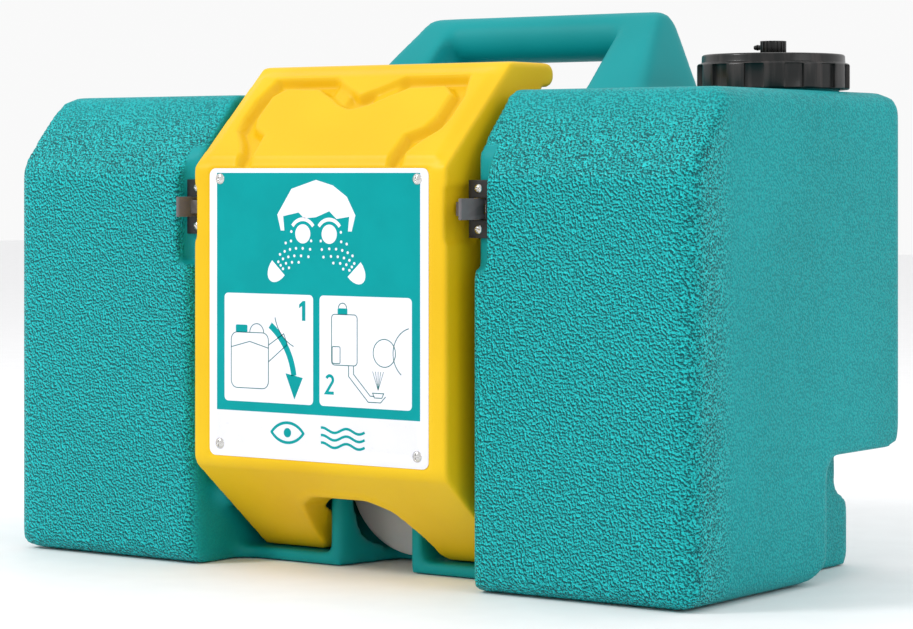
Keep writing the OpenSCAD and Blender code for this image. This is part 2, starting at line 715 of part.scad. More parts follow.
module latch_screws() color(steel) placed()
    both_sides() for (z = latch_screw_z)
        translate([latch_x, pocket_d - plate_t, latch_z + z]) rotate([90, 0, 0]) screw(3, 1.45, 10);

// ---- spray gear -----------------------------------------------------------------------------

head_s = manifold_s;
head_root = manifold_drop + manifold_r - 1;

module on_slope_frame(x, s, d) {
    translate([x, on_slope(s, d).x, on_slope(s, d).y]) rotate([slope_angle + 180, 0, 0]) children();
}
module spray_manifold() color(milky) placed() {
    difference() {
        union() {
            rod_x(-head_x - 14, head_x + 14, manifold_r, manifold_at.x, manifold_at.y);
            translate([0, arc_end.x, arc_end.y]) rotate([slope_angle - 90, 0, 0]) barbs(30);
            both_sides() on_slope_frame(head_x, head_s, manifold_drop)
                cylinder(r = 7, h = manifold_r + 5, $fn = fine);
        }
        rod_x(-head_x - 10, head_x + 10, manifold_r - 2.5, manifold_at.x, manifold_at.y);
        translate([0, arc_end.x, arc_end.y]) rotate([slope_angle - 90, 0, 0])
            translate([0, 0, -over]) cylinder(r = barb_r - 2, h = 34, $fn = fine);
        both_sides() on_slope_frame(head_x, head_s, manifold_drop)
            cylinder(r = 4.5, h = manifold_r + 8, $fn = fine);
    }
}
seat_d = manifold_drop + manifold_r + 5;          // depth of the heads' seats
module spray_head(s) color(teal) placed() side(s) on_slope_frame(head_x, head_s, seat_d) {
    difference() {
        union() {
            cylinder(r1 = 10, r2 = head_dia / 2, h = head_h * 0.45, $fn = fine);
            translate([0, 0, head_h * 0.45]) cylinder(r = head_dia / 2, h = head_h * 0.55, $fn = fine);
        }
        translate([0, 0, -over]) cylinder(r = 4.5, h = head_h, $fn = fine);
        translate([0, 0, 3]) cylinder(r1 = 5, r2 = head_dia / 2 - 2.5, h = head_h * 0.45, $fn = fine);
        translate([0, 0, head_h * 0.45 + 2.9]) cylinder(r = head_dia / 2 - 2.5, h = head_h, $fn = fine);
    }
}
rose_t = 2;
rose_d = seat_d + head_h - rose_t - 1;
module spray_rose(s) color(milky) placed() side(s) on_slope_frame(head_x, head_s, rose_d) {
    difference() {
        cylinder(r = head_dia / 2 - 2.6, h = rose_t, $fn = fine);
        for (ring_no = [1 : 3], k = [0 : 6 * ring_no - 1])
            rotate([0, 0, k * 60 / ring_no]) translate([ring_no * 4, 0, -over])
                cylinder(r = 0.7, h = rose_t + 2 * over, $fn = 16);
    }
}

seal_d = seat_d + head_h + part_gap;
module seal_peg() {
    difference() {
        hull() {
            on_slope_frame(head_x, head_s, seal_d + seal_t) cylinder(r = peg_r, h = 6, $fn = 32);
            rod_y(recess_d, recess_d + 2, peg_r + 4, head_x, on_slope(head_s, seal_d).y - 26);
        }
        on_slope_frame(head_x, head_s, seal_d - 20) cylinder(r = peg_r * 3, h = 20 + seal_t, $fn = 32);
    }
}
module nozzle_seal(s) color(black) placed() side(s)
    on_slope_frame(head_x, head_s, seal_d) cylinder(r = head_dia / 2 - 3, h = seal_t, $fn = fine);

saddle_x = [-18, 18];
saddle_screw_y = [-14, 14];
module manifold_saddles() color(milky) placed()
    for (x = saddle_x)
        on_slope_frame(x, manifold_s, tray_wall) {
            difference() {
                translate([-5, -18, 0]) cube([10, 36, 3]);
                for (y = saddle_screw_y) translate([0, y, -over]) cylinder(r = 1.8, h = 5, $fn = 24);
                rotate([0, 90, 0])
                    translate([-manifold_drop + tray_wall, 0, -6])
                        cylinder(r = manifold_r + 0.1, h = 12, $fn = fine);
            }
            difference() {
                rotate([0, 90, 0])
                    translate([-manifold_drop + tray_wall, 0, -5])
                        ring(manifold_r + 2.5, manifold_r + 0.1, 10);
                translate([-6, -20, -10]) cube([12, 40, 10]);
            }
        }
module saddle_screws() color(steel) placed()
    for (x = saddle_x, y = saddle_screw_y)
        on_slope_frame(x, manifold_s - y, tray_wall + 3) screw(3, 1.5, 4.5);

clip_z = [150, 210];
clip_w = 10;
clip_screw_x = [-12.5, 12.5];
module hose_clips() color(black) placed()
    for (z = clip_z)
        translate([0, hose_y, z]) {
            difference() {
                union() {
                    cylinder(r = hose_dia / 2 + 2, h = clip_w, $fn = fine);
                    translate([-16, tray_face + face_wall - hose_y, 0]) cube([32, 3, clip_w]);
                }
                translate([0, 0, -over]) cylinder(r = hose_dia / 2 + 0.1, h = 12, $fn = fine);
                for (x = clip_screw_x)
                    translate([x, 0, clip_w / 2]) rotate([90, 0, 0]) cylinder(r = 1.8, h = 20, $fn = 24);
                translate([-20, -20 + tray_face + face_wall - hose_y, -over]) cube([40, 20, 12]);
            }
        }
module clip_screws() color(steel) placed()
    for (z = clip_z, x = clip_screw_x)
        translate([x, tray_face + face_wall + 3, z + clip_w / 2]) rotate([-90, 0, 0]) screw(3, 1.5, 4.5);

tank_shell();
outlet_washer();
outlet_cap();
outlet_fitting();
outlet_nut();
tank_hose_clamp();
supply_hose_bend();
hinge_pin(-1);  // hinge_pin_left
hinge_pin(1);  // hinge_pin_right
latch_base(-1);  // latch_base_left
latch_base(1);  // latch_base_right
latch_tongue(-1);  // latch_tongue_left
latch_tongue(1);  // latch_tongue_right
latch_pin(-1);  // latch_pin_left
latch_pin(1);  // latch_pin_right
latch_spring(-1);  // latch_spring_left
latch_spring(1);  // latch_spring_right
latch_screws();
nozzle_seal(-1);  // nozzle_seal_left
nozzle_seal(1);  // nozzle_seal_right
cap_gasket();
fill_cap();
vent_body();
vent_seal();
vent_knob();
fill_neck();
tray_shell();
hinge_bush(-1);  // hinge_bush_left
hinge_bush(1);  // hinge_bush_right
sign_plate();
sign_screws();
supply_hose_run();
tray_hose_clamp();
hose_clips();
clip_screws();
spray_manifold();
manifold_saddles();
saddle_screws();
spray_head(-1);  // spray_head_left
spray_head(1);  // spray_head_right
spray_rose(-1);  // spray_rose_left
spray_rose(1);  // spray_rose_right
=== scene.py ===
# %% [markdown]
# # A gravity eyewash station
#
# The real object is a blow-moulded water tank with two front lobes. Between the lobes sits a bright
# yellow tray that drops forward on a hinge and feeds two spray heads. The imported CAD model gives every
# size, place and joint. This lesson dresses it: soft moulded skins, turned and extruded fittings, a
# printed sign, and a procedural finish for each material.

# %% Load the frame
import json
import math
from contextlib import contextmanager

import bmesh
import bpy
import numpy as np
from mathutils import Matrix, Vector

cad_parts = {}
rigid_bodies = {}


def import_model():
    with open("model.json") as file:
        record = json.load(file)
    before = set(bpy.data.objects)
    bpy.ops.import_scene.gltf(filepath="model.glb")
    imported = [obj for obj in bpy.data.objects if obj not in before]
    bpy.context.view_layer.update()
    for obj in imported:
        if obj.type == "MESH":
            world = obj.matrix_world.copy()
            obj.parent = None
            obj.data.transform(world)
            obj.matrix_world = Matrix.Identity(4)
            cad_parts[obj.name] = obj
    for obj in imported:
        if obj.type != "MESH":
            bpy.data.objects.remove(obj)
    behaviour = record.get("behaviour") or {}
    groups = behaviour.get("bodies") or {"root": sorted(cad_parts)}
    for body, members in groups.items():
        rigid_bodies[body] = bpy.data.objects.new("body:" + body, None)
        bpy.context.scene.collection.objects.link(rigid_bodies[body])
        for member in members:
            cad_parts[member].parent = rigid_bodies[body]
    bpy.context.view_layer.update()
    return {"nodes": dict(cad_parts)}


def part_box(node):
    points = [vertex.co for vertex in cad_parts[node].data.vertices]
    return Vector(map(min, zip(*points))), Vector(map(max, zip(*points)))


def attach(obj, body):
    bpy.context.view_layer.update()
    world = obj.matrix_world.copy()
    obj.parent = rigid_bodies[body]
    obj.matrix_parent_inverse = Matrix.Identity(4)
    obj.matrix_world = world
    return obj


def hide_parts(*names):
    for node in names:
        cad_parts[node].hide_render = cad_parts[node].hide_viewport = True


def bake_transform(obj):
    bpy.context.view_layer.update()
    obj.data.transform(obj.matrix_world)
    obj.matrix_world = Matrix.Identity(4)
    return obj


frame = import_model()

MM = 0.001

# %% [markdown]
# ## The camera
#
# The station is seen from the front right, with the lens level and a little below the tank's top. A long
# lens keeps the uprights parallel, and a small downward shift frames the tank without tilting the lens.

# %% Camera
EYE = Vector((1.2124, -1.6806, 0.2665))
HEADING = math.radians(35.68)
LENS = 117.7
SHIFT_DOWN = 0.156

bpy.ops.object.select_all(action="DESELECT")
bpy.ops.object.camera_add(location=EYE, rotation=(math.radians(90), 0, HEADING))
camera = bpy.context.object
camera.data.lens = LENS
camera.data.shift_y = -SHIFT_DOWN
bpy.context.scene.camera = camera
print("camera is", round((EYE - Vector((0, 0, 0.15))).length, 2), "m from the tank")

# %% [markdown]
# ## True colours
#
# Blender's default tone curve turns strong pigments pale. The plain transform shows a plastic's colour as
# its maker would mix it, so the finishes below can use the pigments' own values.

# %% Colour transform
bpy.context.scene.view_settings.view_transform = "Standard"
print("view transform:", bpy.context.scene.view_settings.view_transform)

# %% [markdown]
# ## A studio
#
# The floor is pale and plain. Most of the light is a bright even sky. A smaller lamp above the left front
# picks out the grain of the skin, and two weaker ones keep the sides and the top from going flat.

# %% Floor, sky and lamps
FLOOR_SIZE = 14.0


def lamp(name, place, target, size, power):
    """A square soft lamp that looks at a target."""
    aim = (Vector(target) - Vector(place)).to_track_quat("-Z", "Y").to_euler()
    bpy.ops.object.light_add(type="AREA", location=place, rotation=aim)
    light = bpy.context.object
    light.name = name
    light.data.size = size
    light.data.energy = power
    return light


bpy.ops.mesh.primitive_plane_add(size=FLOOR_SIZE, location=(0, 0, -0.0006))
floor = bpy.context.object
floor.name = "floor"

lamp("key_lamp", (-1.5, -2.1, 2.3), (0, 0, 0.2), 0.7, 44)
lamp("side_lamp", (2.6, -0.4, 1.5), (0, 0, 0.2), 1.2, 9)
lamp("top_lamp", (0.2, 0.6, 2.6), (0, 0, 0.2), 1.6, 8)

sky = bpy.context.scene.world or bpy.data.worlds.new("sky")
bpy.context.scene.world = sky
sky.use_nodes = True
sky.node_tree.nodes["Background"].inputs["Color"].default_value = (1.0, 1.0, 1.0, 1)
sky.node_tree.nodes["Background"].inputs["Strength"].default_value = 0.95

# %% [markdown]
# ## Writing shaders as sums
#
# A finish is a small calculation over the surface: noise, masks by place, and mixes of the two. Wiring it
# by hand takes one line a node. A thin class that wraps a socket and knows plus, minus, times and divide
# lets each finish read like its formula.

# %% Shader values


class Value:
    """One output socket of a material, with arithmetic."""

    def __init__(self, recipe, socket):
        self.recipe = recipe
        self.socket = socket

    def math(self, operation, a, b):
        return self.recipe.node("Math", {"operation": operation}, {0: a, 1: b})

    def __add__(self, other):
        return self.math("ADD", self, other)

    def __radd__(self, other):
        return self.math("ADD", other, self)

    def __sub__(self, other):
        return self.math("SUBTRACT", self, other)

    def __rsub__(self, other):
        return self.math("SUBTRACT", other, self)

    def __mul__(self, other):
        return self.math("MULTIPLY", self, other)

    def __rmul__(self, other):
        return self.math("MULTIPLY", other, self)

    def __truediv__(self, other):
        return self.math("DIVIDE", self, other)


class Recipe:
    """One material and its node tree."""

    def __init__(self, name):
        self.material = bpy.data.materials.new(name)
        self.material.use_nodes = True
        self.tree = self.material.node_tree
        self.surface = self.tree.nodes["Principled BSDF"]

    def node(self, kind, settings=None, inputs=None, output=0):
        """Adds a node, sets it, feeds its inputs, and returns one of its outputs."""
        made = self.tree.nodes.new("ShaderNode" + kind)
        for key, value in (settings or {}).items():
            setattr(made, key, value)
        for key, value in (inputs or {}).items():
            self.feed(made.inputs[key], value)
        return Value(self, made.outputs[output])

    def feed(self, socket, value):
        if isinstance(value, Value):
            self.tree.links.new(value.socket, socket)
        else:
            socket.default_value = value

    def set(self, **sockets):
        """Sets the shader's own sockets: Base_Color=..., Roughness=..."""
        for key, value in sockets.items():
            self.feed(self.surface.inputs[key.replace("_", " ")], value)

    def place(self):
        """The point's place in the row frame, as x, y and z."""
        point = self.node("TexCoord", output="Object")
        split = self.tree.nodes.new("ShaderNodeSeparateXYZ")
        self.feed(split.inputs[0], point)
        return point, [Value(self, out) for out in split.outputs]

    def noise(self, point, scale, detail=2.0, roughness=0.5):
        inputs = {"Vector": point, "Scale": scale, "Detail": detail, "Roughness": roughness}
        return self.node("TexNoise", None, inputs)

    def between(self, value, low, high, to_low=0.0, to_high=1.0):
        """A smooth step from to_low to to_high as value goes from low to high."""
        inputs = {"Value": value, "From Min": low, "From Max": high, "To Min": to_low, "To Max": to_high}
        return self.node("MapRange", {"interpolation_type": "SMOOTHSTEP"}, inputs)

    def mix(self, share, a, b):
        """A colour between a and b."""
        inputs = {0: share, 6: a, 7: b}
        return self.node("Mix", {"data_type": "RGBA"}, inputs, output=2)

    def bump(self, height, distance, strength=1.0):
        inputs = {"Height": height, "Distance": distance, "Strength": strength}
        self.set(Normal=self.node("Bump", None, inputs, output="Normal"))


print("shader helpers ready")

# %% [markdown]
# ## The moulded teal skin
#
# Blow moulding copies the mould's own surface. The lobes' fronts carry a strong pebble grain, the sides and
# the back a weaker one, and the handle and the recess are smooth. So the grain's height is one noise times a
# mask made from the point's place. Where there is grain, the colour also carries painted light and shade:
# each pebble gets a painted lit side and a painted shaded side, found as the noise's rise from one point to
# the next along a slant. Gloss is highest on the pebbles' tops.

# %% Teal skin
TEAL = (0.003, 0.300, 0.318, 1)
TEAL_DEEP = (0.001, 0.255, 0.268, 1)
# Painted light and shade: a lit colour and a shaded colour for the pebbles' painted sides.
PEBBLE_PAINTED_LIGHT = (0.020, 0.700, 0.715, 1)
PEBBLE_PAINTED_SHADE = (0.000, 0.060, 0.068, 1)
PEBBLES_PER_M = 620.0
PORES_PER_M = 1300.0
PAINTED_LIGHT_STEP = (0.00045, 0.0, 0.0006)
PEBBLE_HEIGHT = 0.0013
LOBE_EDGE = (0.114, 0.120)
CATCH_EDGE = (0.1265, 0.1295)


def teal_skin():
    r = Recipe("teal_moulded_skin")
    point, (x, y, z) = r.place()
    away = r.node("Math", {"operation": "ABSOLUTE"}, {0: x})
    behind = r.between(y, 0.0, 0.04)
    on_lobe = r.between(away, *LOBE_EDGE)
    on_lobe = on_lobe + behind * (1 - on_lobe)
    below_top = r.between(z, 0.3185, 0.3215, 1.0, 0.0)
    to_front = r.between(y, -0.122, -0.085, 1.0, 0.22)
    by_catch = r.between(away, *CATCH_EDGE, 1.0, 0.0) * r.between(z, 0.201, 0.205)
    by_catch = by_catch * r.between(z, 0.282, 0.287, 1.0, 0.0)
    grained = on_lobe * below_top * to_front * (1 - by_catch)
    coarse = r.noise(point, PEBBLES_PER_M, 1.0)
    fine = r.noise(point, PORES_PER_M, 1.0)
    # Painted light and shade: the noise's rise along this slant picks each pebble's painted lit or shaded
    # colour.
    step = r.node("VectorMath", {"operation": "ADD"}, {0: point, 1: PAINTED_LIGHT_STEP})
    painted_light_rise = r.between(r.noise(step, PEBBLES_PER_M, 1.0) - coarse, -0.14, 0.14)
    pebbles = r.between(coarse, 0.36, 0.66)
    drift = r.noise(point, 7.0, 3.0)
    plain = r.mix(r.between(drift, 0.3, 0.75), TEAL_DEEP, TEAL)
    painted_pebble_light_shade = r.mix(painted_light_rise, PEBBLE_PAINTED_LIGHT, PEBBLE_PAINTED_SHADE)
    # Where there is grain, the colour is mostly this painted light and shade, which also makes the grained
    # fronts lighter than the plain sides.
    r.set(Base_Color=r.mix(grained * 0.8, plain, painted_pebble_light_shade))
    r.set(Roughness=0.5 - pebbles * grained * 0.2 + drift * 0.06)
    r.bump(pebbles * grained + fine * 0.03, PEBBLE_HEIGHT)
    r.set(Specular_IOR_Level=0.17)
    return r.material


teal = teal_skin()
print("made", teal.name)

# %% [markdown]
# ## The yellow tray plastic
#
# The tray is a smooth satin moulding. Its colour is a warm yellow that drifts a little where the wall is
# thicker, and its gloss is broken by a very fine orange-peel.

# %% Yellow plastic
YELLOW = (0.80, 0.515, 0.008, 1)
YELLOW_WARM = (0.74, 0.45, 0.003, 1)


def yellow_skin():
    r = Recipe("yellow_moulded_plastic")
    point, _ = r.place()
    drift = r.noise(point, 9.0, 2.0)
    peel = r.noise(point, 260.0, 2.0)
    r.set(Base_Color=r.mix(r.between(drift, 0.35, 0.7), YELLOW_WARM, YELLOW))
    r.set(Roughness=0.36 + peel * 0.08 + drift * 0.05)
    r.bump(peel + drift * 3.0, 0.00012, 0.5)
    r.set(Specular_IOR_Level=0.22)
    return r.material


yellow = yellow_skin()
print("made", yellow.name)

# %% [markdown]
# ## The other finishes
#
# The rest are plain injection-moulded plastics, rubber and steel. Each is a base colour with a slow drift,
# a grain of its own size, and a gloss that varies with both. One function covers them, and each finish is
# one line of values.

# %% Moulded, rubber and metal finishes


def plain_finish(name, light, dark, gloss, grain, height, **fixed):
    """Two close colours that drift, and a fine grain that shows in both gloss and bump."""
    r = Recipe(name)
    point, _ = r.place()
    drift = r.noise(point, 35.0, 3.0)
    fine = r.noise(point, grain, 2.0)
    r.set(Base_Color=r.mix(r.between(drift, 0.3, 0.7), dark, light))
    r.set(Roughness=gloss + (fine - 0.5) * 0.14)
    r.bump(fine, height, 0.6)
    r.set(**{"Specular_IOR_Level": 0.3, **fixed})
    return r.material


def streaked_steel(name, light, dark, gloss, stretch):
    """Polished metal whose fine scratches run along one axis."""
    r = Recipe(name)
    point, _ = r.place()
    along = r.node("Mapping", None, {"Vector": point, "Scale": stretch})
    streaks = r.noise(along, 900.0, 3.0, 0.6)
    r.set(Base_Color=r.mix(streaks, dark, light))
    r.set(Roughness=gloss + streaks * 0.16, Metallic=1.0)
    r.bump(streaks, 0.00002, 0.5)
    return r.material


milky = plain_finish("milky_plastic", (0.76, 0.76, 0.77, 1), (0.68, 0.69, 0.7, 1), 0.4, 500.0, 0.00005,
                     Subsurface_Weight=0.15, Subsurface_Scale=0.004)
vinyl = plain_finish("clear_vinyl", (0.72, 0.74, 0.74, 1), (0.6, 0.63, 0.63, 1), 0.22, 300.0, 0.00004,
                     Coat_Weight=0.4, Subsurface_Weight=0.25, Subsurface_Scale=0.005)
rubber = plain_finish("black_rubber", (0.022, 0.022, 0.022, 1), (0.012, 0.012, 0.013, 1), 0.66, 700.0,
                      0.00006)
black = plain_finish("black_nylon", (0.022, 0.022, 0.023, 1), (0.012, 0.012, 0.013, 1), 0.42, 900.0, 0.00005)
latch_grey = plain_finish("latch_grey", (0.165, 0.15, 0.155, 1), (0.125, 0.115, 0.12, 1), 0.36, 800.0,
                          0.00004)
head_teal = plain_finish("head_teal", (0.003, 0.3, 0.31, 1), (0.002, 0.24, 0.25, 1), 0.36, 500.0, 0.00005)
steel = streaked_steel("bright_steel", (0.78, 0.77, 0.75, 1), (0.5, 0.49, 0.48, 1), 0.16, (1, 1, 0.1))
wire = streaked_steel("spring_steel", (0.6, 0.59, 0.57, 1), (0.38, 0.37, 0.36, 1), 0.24, (1, 1, 0.2))
print("plain finishes:", [m.name for m in (milky, vinyl, rubber, black, latch_grey, head_teal, steel, wire)])

# %% [markdown]
# ## Smoked plastic
#
# The fill cap and its vent are moulded in smoked clear plastic, so light gets a few millimetres in. Warm
# brown shows where the wall is thin and black where it is thick. Slow upright streaks stand for the thread
# and ribs that show dimly through the skirt.

# %% Smoked plastic
SMOKE_THICK = (0.005, 0.006, 0.006, 1)
SMOKE_THIN = (0.034, 0.029, 0.028, 1)


def smoked_plastic():
    r = Recipe("smoked_clear_plastic")
    point, _ = r.place()
    upright = r.node("Mapping", None, {"Vector": point, "Scale": (1, 1, 0.12)})
    flow = r.noise(upright, 120.0, 3.0, 0.6)
    speck = r.noise(point, 600.0, 1.0)
    r.set(Base_Color=r.mix(r.between(flow, 0.42, 0.68), SMOKE_THICK, SMOKE_THIN))
    r.set(Roughness=0.26 + flow * 0.16)
    r.bump(flow + speck * 0.2, 0.00006, 0.6)
    r.set(Coat_Weight=0.12, Coat_Roughness=0.08, Specular_IOR_Level=0.3)
    return r.material


smoke = smoked_plastic()
print("made", smoke.name)

# %% [markdown]
# ## Print
#
# The sign is a white plastic plate with solid inks. Ink is smoother than the plate, and it lies on it as a
# film, so each ink is a finish of its own.

# %% Sign plate and inks
plate_white = plain_finish("sign_white", (0.83, 0.83, 0.9, 1), (0.8, 0.8, 0.87, 1), 0.3, 400.0, 0.00003,
                           Coat_Weight=0.2)
ink_teal = plain_finish("ink_teal", (0.0, 0.315, 0.325, 1), (0.0, 0.29, 0.3, 1), 0.4, 900.0, 0.00002,
                        Specular_IOR_Level=0.08)
ink_line = plain_finish("ink_line", (0.01, 0.16, 0.16, 1), (0.01, 0.14, 0.14, 1), 0.34, 900.0, 0.00002)
print("inks:", ink_teal.name, ink_line.name)

# %% [markdown]
# ## Tools of the bench
#
# Operators act on whatever is selected, so each helper first selects one piece alone. `editing` opens edit
# mode with nothing selected and hands over the mesh, and `hand_over` ends a piece: finish, body, and the
# CAD node that it stands for.

# %% Selecting and editing


def alone(piece):
    """Selects one object, and nothing else."""
    bpy.ops.object.select_all(action="DESELECT")
    piece.select_set(True)
    bpy.context.view_layer.objects.active = piece


@contextmanager
def editing(piece, mode="FACE"):
    alone(piece)
    bpy.ops.object.mode_set(mode="EDIT")
    bpy.ops.mesh.select_mode(type=mode)
    bpy.ops.mesh.select_all(action="DESELECT")
    yield bmesh.from_edit_mesh(piece.data)
    bpy.ops.object.mode_set(mode="OBJECT")


def pick(mesh, piece, test):
    """Selects the faces that pass a test."""
    for face in mesh.faces:
        face.select_set(bool(test(face)))
    bmesh.update_edit_mesh(piece.data)


def modify(piece, kind, **settings):
    """Adds a modifier and applies it."""
    alone(piece)
    modifier = piece.modifiers.new(kind, kind)
    for key, value in settings.items():
        setattr(modifier, key, value)
    bpy.ops.object.modifier_apply(modifier=modifier.name)


def settle(piece):
    """Moves the object's place into its mesh."""
    alone(piece)
    bpy.ops.object.transform_apply(location=True, rotation=True, scale=True)


def shade(piece, angle):
    """Shades smooth, but keeps the edges that turn by more than an angle sharp."""
    alone(piece)
    bpy.ops.object.shade_smooth_by_angle(angle=math.radians(angle))


def soften(piece, width, segments=3, angle=35):
    """Rounds the sharp edges and shades the rest smooth."""
    modify(piece, "BEVEL", width=width, segments=segments, limit_method="ANGLE",
           angle_limit=math.radians(angle), harden_normals=False)
    shade(piece, 40)


def hand_over(piece, body, finish, slot, *nodes):
    """Gives the finished piece its material and its body, and hides the CAD nodes that it stands for."""
    piece.data.materials.clear()
    piece.data.materials.append(finish)
    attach(piece, body)
    if nodes:
        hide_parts(*nodes)
    print(f"{piece.name}: {len(piece.data.polygons)} faces, rides on {body}")
    return piece


def linked(name, data):
    """A new object in the scene, round some mesh or curve."""
    piece = bpy.data.objects.new(name, data)
    bpy.context.scene.collection.objects.link(piece)
    return piece


def cad_copy(name, node):
    """A copy of a CAD node's mesh with its loose triangles joined up."""
    piece = linked(name, frame["nodes"][node].data.copy())
    with editing(piece, "VERT"):
        bpy.ops.mesh.select_all(action="SELECT")
        bpy.ops.mesh.remove_doubles(threshold=0.00001)
    return piece


ALONG = {"X": (0, math.pi / 2, 0), "-X": (0, -math.pi / 2, 0), "Y": (math.pi / 2, 0, 0), "Z": (0, 0, 0)}


def drum(name, centre, radius, depth, axis="Z", sides=96):
    """A plain cylinder on one axis, as a start or a cutter."""
    bpy.ops.object.select_all(action="DESELECT")
    bpy.ops.mesh.primitive_cylinder_add(vertices=sides, radius=radius, depth=depth, location=centre,
                                        rotation=ALONG[axis])
    piece = bpy.context.object
    piece.name = name
    settle(piece)
    return piece


def block(name, low, high):
    """A plain box between two corners."""
    bpy.ops.object.select_all(action="DESELECT")
    bpy.ops.mesh.primitive_cube_add(size=1, location=(Vector(low) + Vector(high)) / 2)
    piece = bpy.context.object
    piece.name = name
    piece.scale = Vector(high) - Vector(low)
    settle(piece)
    return piece


def cut(piece, cutter):
    """Takes the cutter's shape out of the piece."""
    modify(piece, "BOOLEAN", operation="DIFFERENCE", object=cutter, solver="MANIFOLD")
    bpy.data.objects.remove(cutter)


def weld(piece, *others):
    """Joins other meshes into the piece, as one object."""
    alone(piece)
    for other in others:
        other.select_set(True)
    bpy.ops.object.join()
    return piece


print("bench ready")

# %% [markdown]
# ## The tank
#
# The CAD tank has the right walls, lobes and pockets, but its edges are those of crossed extrusions. A real
# moulding flows round its corners. So a copy is plugged at its two mouths, which leaves the inside as a
# separate shell that can go, then remeshed on an even grid and relaxed. The relaxing is weaker inside the
# recess, where small bosses must keep their shape.

# %% Measures of the tank
tank_low, tank_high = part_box("tank_shell")
cap_low, cap_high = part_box("fill_cap")
cap_axis = (cap_low + cap_high) / 2
outlet_low, outlet_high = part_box("outlet_cap")
outlet_axis = (outlet_low + outlet_high) / 2
TANK_TOP = 0.320
NECK_R = 0.044
NECK_BORE = 0.040
RECESS_X = 0.115
RECESS_BACK = tank_low.y + 0.112
VOXEL = 0.0034
print("tank", [round(v, 3) for v in tank_high - tank_low], "cap axis", [round(v, 3) for v in cap_axis[:2]])

# %% Plug, remesh and relax the tank
tank = cad_copy("tank_moulding", "tank_shell")
neck_plug = drum("neck_plug", (cap_axis.x, cap_axis.y, TANK_TOP - 0.002), 0.042, 0.0038)
outlet_plug = drum("outlet_plug", (0, RECESS_BACK, outlet_axis.z), 0.0465, 0.0140, "Y")
weld(tank, neck_plug, outlet_plug)
modify(tank, "REMESH", mode="VOXEL", voxel_size=VOXEL, use_smooth_shade=True)
with editing(tank, "VERT") as mesh:
    mesh.verts.ensure_lookup_table()
    outermost = max(mesh.verts, key=lambda v: v.co.x)
    outermost.select_set(True)
    bmesh.update_edit_mesh(tank.data)
    bpy.ops.mesh.select_linked()
    bpy.ops.mesh.select_all(action="INVERT")
    bpy.ops.mesh.delete(type="VERT")
print("outer skin has", len(tank.data.polygons), "faces")

# %% Relax the skin
points = np.array([v.co for v in tank.data.vertices])
out_of_recess = np.clip((np.abs(points[:, 0]) - RECESS_X - 0.004) / 0.016, 0, 1)
out_of_recess = np.maximum(out_of_recess, points[:, 1] > RECESS_BACK + 0.01)
out_of_recess = np.maximum(out_of_recess, points[:, 2] > TANK_TOP - 0.004)
ease = 0.35 + 0.65 * out_of_recess * out_of_recess * (3 - 2 * out_of_recess)
relax = tank.vertex_groups.new(name="relax")
for step in range(11):
    share = 0.35 + 0.065 * step
    relax.add(np.nonzero(np.abs(ease - share) < 0.0326)[0].tolist(), share, "REPLACE")
modify(tank, "SMOOTH", factor=0.5, iterations=9, vertex_group="relax")
print("relaxed; the recess keeps", int((out_of_recess == 0).sum()), "points nearly as they were")

# %% Hollow the tank below its neck
SKIN = 0.009
chamber = block("chamber", (tank_low.x + SKIN, RECESS_BACK + SKIN, 0.093),
                (tank_high.x - SKIN, 0.131, 0.311))
soften(chamber, 0.014, 4)
cut(tank, chamber)
cut(tank, drum("neck_bore", (cap_axis.x, cap_axis.y, 0.315), NECK_BORE, 0.0300))
shade(tank, 60)
hand_over(tank, "tank", teal, "tank_plastic", "tank_shell")

# %% [markdown]
# ## The fill neck
#
# Under the cap is a short neck with a real thread. It is turned: its half section is spun round the axis,
# and the thread is a small ridge swept up the outside. It is welded on the tank, so it rides with it.

# %% Turning a half section


def turned(name, section, at, axis="Z", steps=96):
    """Spins a closed half section of (radius, height) points round an axis through at."""
    mesh = bpy.data.meshes.new(name)
    count = len(section)
    edges = [(i, (i + 1) % count) for i in range(count)]
    mesh.from_pydata([(radius, 0, height) for radius, height in section], edges, [])
    piece = linked(name, mesh)
    with editing(piece, "VERT"):
        bpy.ops.mesh.select_all(action="SELECT")
        bpy.ops.mesh.spin(steps=steps, angle=2 * math.pi, center=(0, 0, 0), axis=(0, 0, 1))
        bpy.ops.mesh.select_all(action="SELECT")
        bpy.ops.mesh.remove_doubles(threshold=0.000002)
        bpy.ops.mesh.normals_make_consistent(inside=False)
    piece.rotation_euler = ALONG[axis]
    piece.location = at
    settle(piece)
    return piece


def thread(name, at, radius, pitch, turns, ridge, per_turn=72):
    """A helical ridge of triangular section, tapered to nothing at both ends."""
    mesh = bpy.data.meshes.new(name)
    steps = int(turns * per_turn)
    points = []
    for k in range(steps + 1):
        angle = 2 * math.pi * k / per_turn
        height = pitch * k / per_turn
        proud = ridge * min(1.0, k / 12, (steps - k) / 12) + 0.00002
        for out, up in ((-0.0004, -ridge), (proud, 0.0), (-0.0004, ridge)):
            reach = radius + out
            points.append((reach * math.cos(angle), reach * math.sin(angle), height + up))
    faces = []
    for k in range(steps):
        a, b = 3 * k, 3 * (k + 1)
        for i, j in ((0, 1), (1, 2), (2, 0)):
            faces.append((a + i, b + i, b + j, a + j))
    faces += [(0, 1, 2), (3 * steps + 2, 3 * steps + 1, 3 * steps)]
    mesh.from_pydata(points, [], faces)
    piece = linked(name, mesh)
    with editing(piece):
        bpy.ops.mesh.select_all(action="SELECT")
        bpy.ops.mesh.normals_make_consistent(inside=False)
    piece.location = at
    settle(piece)
    return piece


